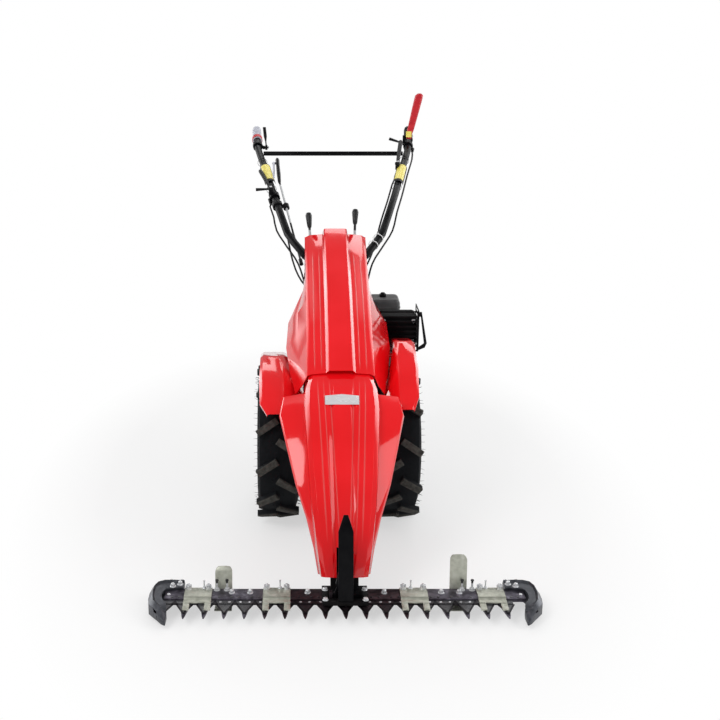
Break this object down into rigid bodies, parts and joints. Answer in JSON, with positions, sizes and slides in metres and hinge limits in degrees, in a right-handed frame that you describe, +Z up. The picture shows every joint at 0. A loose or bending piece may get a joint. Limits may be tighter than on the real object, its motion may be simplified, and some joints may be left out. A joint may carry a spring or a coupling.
{
  "type": "motor mower",
  "caption": "Walk-behind motor mower: a wide finger bar under a red two-part hood, two lugged wheels, an engine behind the axle and a tilting handlebar with its controls.",
  "frame": {"origin": "on the floor, under the centre of the machine's box at rest", "axes": "+Y from the cutter bar to the handles, +X to the side that the cylinder leans to, +Z up"},
  "size_m": [1.001, 1.9252, 1.173],
  "materials": {
    "red_hood": "gloss, deep red",
    "red_lever": "satin",
    "black_frame": "satin black paint",
    "black_casting": "painted black, cast texture",
    "bare_casting": "as cast",
    "grey_iron": "dark, worn",
    "head_iron": "painted black, cast texture",
    "blade_steel": "oiled and stained",
    "zinc_steel": "zinc plated",
    "rim_steel": "silver paint",
    "badge": "bright",
    "tyre_rubber": "matt",
    "black_plastic": "satin",
    "grey_plastic": "satin",
    "pale_plastic": "satin"
  },
  "bodies": {
    "frame": {"gearbox": "black_casting", "bell_housing": "bare_casting", "drive_tube": "black_frame", "column": "black_frame", "hood_upper": "red_hood", "hood_lower": "red_hood", "hood_bracket": "black_frame", "badge_plate": "badge", "mudguard_left": "red_hood", "mudguard_right": "red_hood", "crankcase": "black_casting", "cylinder_head": "bare_casting", "fan_housing": "black_plastic", "fuel_tank": "black_plastic", "air_cleaner": "grey_plastic", "muffler": "black_frame", "muffler_guard": "black_frame"},
    "wheels": {"axle": "zinc_steel", "rim_left": "rim_steel", "rim_right": "rim_steel", "tyre_left": "tyre_rubber", "tyre_right": "tyre_rubber"},
    "cutter_bar": {"drive_head": "head_iron", "grass_divider": "black_frame", "finger_bar": "blade_steel", "end_shoe_left": "grey_iron", "end_shoe_right": "grey_iron", "hold_down_1": "zinc_steel", "hold_down_2": "zinc_steel", "hold_down_3": "zinc_steel", "hold_down_4": "zinc_steel", "skid_left": "zinc_steel", "skid_right": "zinc_steel"},
    "knife": {"knife": "blade_steel"},
    "knife_arm": {"knife_arm": "black_frame"},
    "handlebar": {"handlebar_hub": "black_frame", "handle_left": "black_frame", "handle_right": "black_frame", "crossbar": "black_frame", "grip_left": "pale_plastic", "grip_right": "black_plastic", "stop_clamp": "black_frame", "throttle_clamp": "black_frame", "brake_clamp": "black_frame", "clutch_clamp": "black_frame", "shift_guide": "black_plastic", "cable_throttle": "black_plastic", "cable_brake": "black_plastic", "cable_clutch": "black_plastic", "cable_stop": "black_plastic"},
    "stop_lever": {"stop_lever": "red_lever"},
    "throttle_lever": {"throttle_lever": "black_plastic"},
    "brake_lever": {"brake_lever": "black_plastic"},
    "clutch_lever": {"clutch_lever": "black_plastic"},
    "shift_rod": {"shift_rod": "zinc_steel"},
    "shift_trigger": {"shift_trigger": "pale_plastic"},
    "gear_rod_left": {"gear_rod_left": "zinc_steel"},
    "gear_rod_right": {"gear_rod_right": "zinc_steel"},
    "starter_grip": {"starter_grip": "black_plastic"},
    "fuel_cap": {"fuel_cap": "black_plastic"}
  },
  "joints": [
    {"name": "axle_spin", "type": "hinge", "parent": "frame", "child": "wheels", "pos_m": [0, -0.239, 0.23], "axis": [1, 0, 0], "continuous": true},
    {"name": "bar_roll", "type": "hinge", "parent": "frame", "child": "cutter_bar", "pos_m": [0, -0.7076, 0.205], "axis": [0, 1, 0], "range_deg": [-5, 5]},
    {"name": "knife_slide", "type": "slide", "parent": "cutter_bar", "child": "knife", "axis": [1, 0, 0], "range_m": [0, 0.0508]},
    {"name": "knife_arm_swing", "type": "hinge", "parent": "cutter_bar", "child": "knife_arm", "pos_m": [0, -0.8816, 0.14234], "axis": [0, 1, 0], "range_deg": [-33, 0]},
    {"name": "handlebar_tilt", "type": "hinge", "parent": "frame", "child": "handlebar", "pos_m": [0, 0.001, 0.7], "axis": [1, 0, 0], "range_deg": [-15, 6], "deforming": ["cable_throttle", "cable_brake", "cable_clutch", "cable_stop"]},
    {"name": "stop_press", "type": "hinge", "parent": "handlebar", "child": "stop_lever", "pos_m": [0.2912, 0.797, 1.02549], "axis": [1, 0, 0], "range_deg": [-24, 0], "stiffness_Nm_per_rad": 0.4, "springref_deg": 34.38},
    {"name": "throttle_turn", "type": "hinge", "parent": "handlebar", "child": "throttle_lever", "pos_m": [-0.2303, 0.765, 0.98901], "axis": [1, 0, 0], "range_deg": [0, 50]},
    {"name": "brake_pull", "type": "hinge", "parent": "handlebar", "child": "brake_lever", "pos_m": [-0.2072, 0.367, 0.89716], "axis": [0, 0, 1], "range_deg": [0, 20], "stiffness_Nm_per_rad": 0.3, "springref_deg": -17.19},
    {"name": "clutch_pull", "type": "hinge", "parent": "handlebar", "child": "clutch_lever", "pos_m": [0.23155, 0.565, 0.95652], "axis": [0, 0, 1], "range_deg": [0, 25], "stiffness_Nm_per_rad": 0.3, "springref_deg": -17.19},
    {"name": "shift_slide", "type": "slide", "parent": "handlebar", "child": "shift_rod", "axis": [-0.1835, 0.8244, 0.5354], "range_m": [-0.015, 0.015]},
    {"name": "trigger_squeeze", "type": "hinge", "parent": "shift_rod", "child": "shift_trigger", "pos_m": [-0.1989, 0.4706, 0.969], "axis": [1, 0, 0], "range_deg": [-12, 0], "stiffness_Nm_per_rad": 0.02, "springref_deg": 17.19},
    {"name": "gear_slide_left", "type": "slide", "parent": "frame", "child": "gear_rod_left", "axis": [-0.0569, 0.599, 0.7987], "range_m": [-0.02, 0.02]},
    {"name": "gear_slide_right", "type": "slide", "parent": "frame", "child": "gear_rod_right", "axis": [0.03, 0.5997, 0.7996], "range_m": [-0.02, 0.02]},
    {"name": "starter_pull", "type": "slide", "parent": "frame", "child": "starter_grip", "axis": [0.7992, 0.2198, 0.5594], "range_m": [0, 0.05], "stiffness_N_per_m": 20, "springref_m": -0.05},
    {"name": "cap_turn", "type": "hinge", "parent": "frame", "child": "fuel_cap", "pos_m": [-0.02, 0.1063, 0.5866], "axis": [0, 0, 1], "range_deg": [0, 90]}
  ],
  "couplings": [
    {"joint": "knife_arm_swing", "follows": "knife_slide", "rad_per_m": -11.264}
  ]
}
